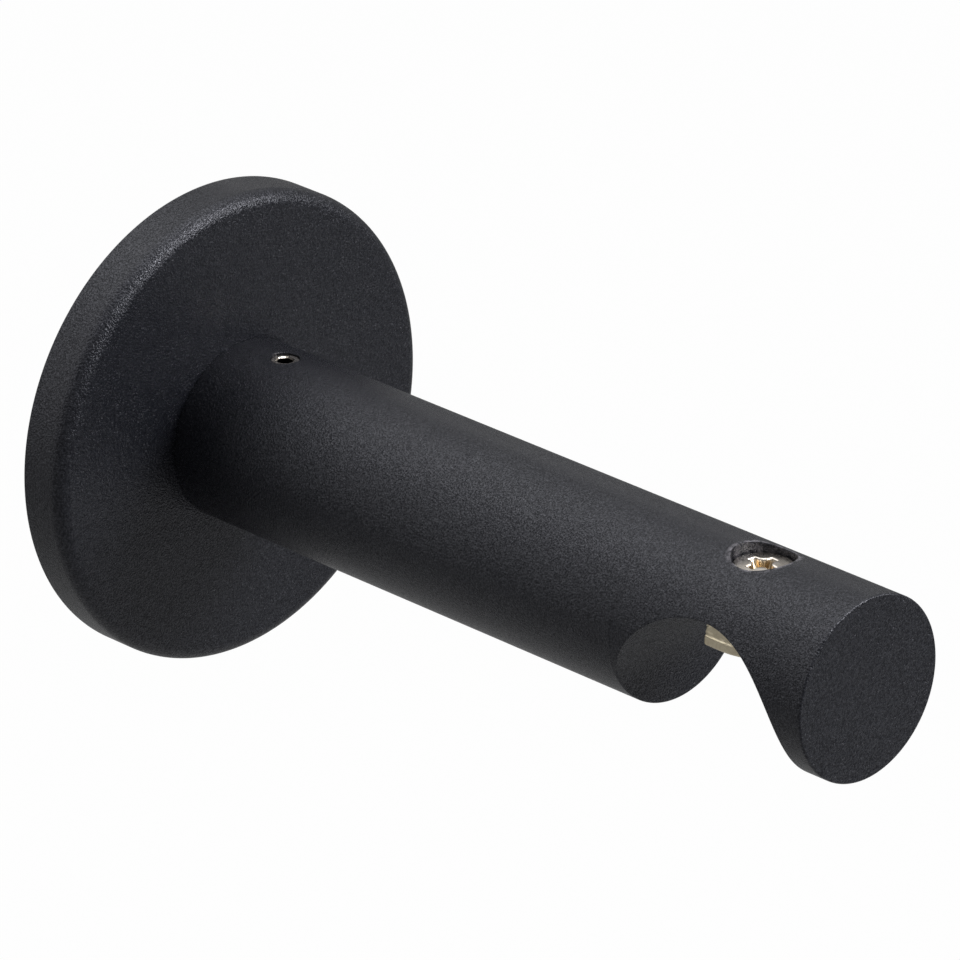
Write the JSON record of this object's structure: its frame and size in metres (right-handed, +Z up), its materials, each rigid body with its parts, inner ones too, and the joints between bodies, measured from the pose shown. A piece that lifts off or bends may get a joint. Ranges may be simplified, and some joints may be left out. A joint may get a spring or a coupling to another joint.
{
  "type": "curtain pole bracket",
  "caption": "Wall bracket for a curtain pole: a round arm on a rosette, with a half-round seat under its end and a clamp screw and slot nut that draw the pole up into it.",
  "frame": {"origin": "centre of the rosette's and wall plate's back, in the plane of the wall", "axes": "the arm stands out of the wall along -Y, +Y points into the wall, +Z is up and the pole lies along X"},
  "size_m": [0.0656, 0.1204, 0.0656],
  "materials": {
    "black_powder_coat": "fine pebbled black powder coat, semi-matte",
    "nickel_plated_steel": "bright nickel plating over steel",
    "zinc_plated_steel": "plain zinc plating over steel"
  },
  "bodies": {
    "bracket": {"wall_plate": "zinc_plated_steel", "spigot": "zinc_plated_steel", "spigot_screw": "zinc_plated_steel", "rosette": "black_powder_coat", "arm": "black_powder_coat", "grub_screw": "nickel_plated_steel"},
    "screw": {"clamp_screw": "nickel_plated_steel"},
    "nut": {"clamp_nut": "nickel_plated_steel"}
  },
  "joints": [
    {"name": "clamp_nut_travel", "type": "slide", "parent": "bracket", "child": "nut", "axis": [0, 0, 1], "range_m": [-0.0014, 0.00158]},
    {"name": "clamp_screw_turn", "type": "hinge", "parent": "bracket", "child": "screw", "pos_m": [0, -0.102, 0.0091], "axis": [0, 0, -1], "range_deg": [-725, 815]}
  ],
  "couplings": [
    {"joint": "clamp_screw_turn", "follows": "clamp_nut_travel", "rad_per_m": 8976}
  ]
}
